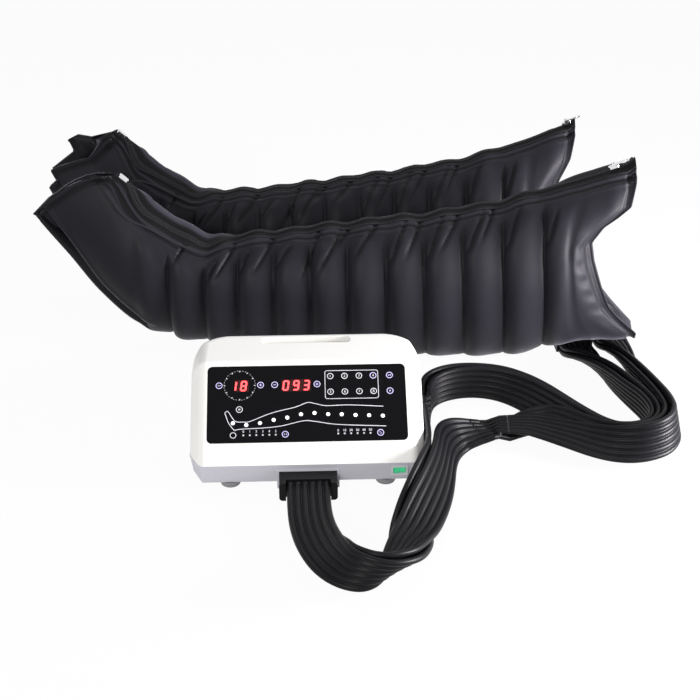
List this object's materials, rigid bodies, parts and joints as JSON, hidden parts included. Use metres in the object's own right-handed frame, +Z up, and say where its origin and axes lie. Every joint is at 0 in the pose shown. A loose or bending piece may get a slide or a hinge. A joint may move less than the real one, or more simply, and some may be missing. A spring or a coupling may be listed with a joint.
{
  "type": "compression therapy pump",
  "caption": "Tabletop air compression pump with sloped control panel, plug-in ribbon hoses and two full-leg zip-up sleeves.",
  "frame": {"origin": "on the floor under the middle of the pump, between its four feet", "axes": "+X to the pump front's right, +Y from the sloping front panel to the back, +Z up"},
  "size_m": [0.9832, 0.9178, 0.3298],
  "materials": {
    "cover": "satin",
    "tray": "satin",
    "rubber": "matte",
    "steel": "satin",
    "panel": "gloss",
    "display": "gloss",
    "lamp": "satin",
    "key": "satin",
    "board": "satin",
    "bezel": "satin",
    "switch": "gloss",
    "plug": "satin",
    "clear_tube": "satin",
    "motor": "satin",
    "aluminium": "cast",
    "coupler": "gloss",
    "hose": "satin",
    "fabric": "coated nylon",
    "tape": "woven",
    "slider": "polished"
  },
  "bodies": {
    "pump_set": {"air_lines": "clear_tube", "base_tray": "tray", "board_screws": "steel", "chamber_lamps": "lamp", "compressor_body": "motor", "compressor_heads": "aluminium", "compressor_mounts": "rubber", "control_panel": "panel", "cover_screws": "steel", "display_board": "board", "fan_frame": "plug", "fan_guard": "steel", "fan_screws": "steel", "far_hose_a": "hose", "far_hose_b": "hose", "far_hose_port": "plug", "far_sleeve": "fabric", "far_toe_slider": "slider", "far_zipper_tape": "tape", "hold_lamps": "lamp", "hose_plug": "plug", "hose_socket": "tray", "hose_splitters_front": "coupler", "hose_splitters_rear": "coupler", "interval_lamps": "lamp", "main_board": "board", "main_hose_front": "hose", "main_hose_rear": "hose", "mains_inlet": "plug", "mode_lamps": "lamp", "near_hose_a": "hose", "near_hose_b": "hose", "near_hose_port": "plug", "near_sleeve": "fabric", "near_toe_slider": "slider", "near_zipper_tape": "tape", "pressure_display": "display", "rubber_feet": "rubber", "solenoid_valves": "steel", "switch_bezel": "bezel", "time_display": "display", "top_cover": "cover", "transformer": "motor", "valve_block": "plug"},
    "key_hold_body": {"key_hold": "key"},
    "key_individual_body": {"key_individual": "key"},
    "key_interval_body": {"key_interval": "key"},
    "key_mode_body": {"key_mode": "key"},
    "key_pressure_minus_body": {"key_pressure_minus": "key"},
    "key_pressure_plus_body": {"key_pressure_plus": "key"},
    "key_start_body": {"key_start": "key"},
    "key_time_minus_body": {"key_time_minus": "key"},
    "key_time_plus_body": {"key_time_plus": "key"},
    "switch_rocker_body": {"switch_rocker": "switch"},
    "fan_rotor_body": {"fan_rotor": "plug"},
    "near_zipper_slider_body": {"near_zipper_slider": "slider"},
    "near_zipper_pull_body": {"near_zipper_pull": "slider"},
    "far_zipper_slider_body": {"far_zipper_slider": "slider"},
    "far_zipper_pull_body": {"far_zipper_pull": "slider"}
  },
  "joints": [
    {"name": "key_hold_press", "type": "slide", "parent": "pump_set", "child": "key_hold_body", "axis": [0, 0.6293, -0.7771], "range_m": [0, 0.0004], "stiffness_N_per_m": 200, "springref_m": -0.0005},
    {"name": "key_individual_press", "type": "slide", "parent": "pump_set", "child": "key_individual_body", "axis": [0, 0.6293, -0.7771], "range_m": [0, 0.0004], "stiffness_N_per_m": 200, "springref_m": -0.0005},
    {"name": "key_interval_press", "type": "slide", "parent": "pump_set", "child": "key_interval_body", "axis": [0, 0.6293, -0.7771], "range_m": [0, 0.0004], "stiffness_N_per_m": 200, "springref_m": -0.0005},
    {"name": "key_mode_press", "type": "slide", "parent": "pump_set", "child": "key_mode_body", "axis": [0, 0.6293, -0.7771], "range_m": [0, 0.0004], "stiffness_N_per_m": 200, "springref_m": -0.0005},
    {"name": "key_pressure_minus_press", "type": "slide", "parent": "pump_set", "child": "key_pressure_minus_body", "axis": [0, 0.6293, -0.7771], "range_m": [0, 0.0004], "stiffness_N_per_m": 200, "springref_m": -0.0005},
    {"name": "key_pressure_plus_press", "type": "slide", "parent": "pump_set", "child": "key_pressure_plus_body", "axis": [0, 0.6293, -0.7771], "range_m": [0, 0.0004], "stiffness_N_per_m": 200, "springref_m": -0.0005},
    {"name": "key_start_press", "type": "slide", "parent": "pump_set", "child": "key_start_body", "axis": [0, 0.6293, -0.7771], "range_m": [0, 0.0004], "stiffness_N_per_m": 200, "springref_m": -0.0005},
    {"name": "key_time_minus_press", "type": "slide", "parent": "pump_set", "child": "key_time_minus_body", "axis": [0, 0.6293, -0.7771], "range_m": [0, 0.0004], "stiffness_N_per_m": 200, "springref_m": -0.0005},
    {"name": "key_time_plus_press", "type": "slide", "parent": "pump_set", "child": "key_time_plus_body", "axis": [0, 0.6293, -0.7771], "range_m": [0, 0.0004], "stiffness_N_per_m": 200, "springref_m": -0.0005},
    {"name": "power_switch", "type": "hinge", "parent": "pump_set", "child": "switch_rocker_body", "pos_m": [0.123, -0.105, 0.0282], "axis": [0, 0, 1], "range_deg": [-20, 0]},
    {"name": "fan_spin", "type": "hinge", "parent": "pump_set", "child": "fan_rotor_body", "pos_m": [-0.07, 0.09247, 0.07839], "axis": [0, -0.9822, -0.1881], "continuous": true},
    {"name": "near_zip_slide", "type": "slide", "parent": "pump_set", "child": "near_zipper_slider_body", "axis": [-0.9381, 0.0393, -0.3443], "range_m": [0, 0.025]},
    {"name": "near_zip_pull_swing", "type": "hinge", "parent": "near_zipper_slider_body", "child": "near_zipper_pull_body", "pos_m": [0.46949, 0.26632, 0.32093], "axis": [-0.0419, -0.9991, 0], "range_deg": [-4, 184]},
    {"name": "far_zip_slide", "type": "slide", "parent": "pump_set", "child": "far_zipper_slider_body", "axis": [-0.9381, 0.0393, -0.3443], "range_m": [0, 0.025]},
    {"name": "far_zip_pull_swing", "type": "hinge", "parent": "far_zipper_slider_body", "child": "far_zipper_pull_body", "pos_m": [0.43949, 0.48132, 0.32093], "axis": [-0.0419, -0.9991, 0], "range_deg": [-4, 184]}
  ]
}
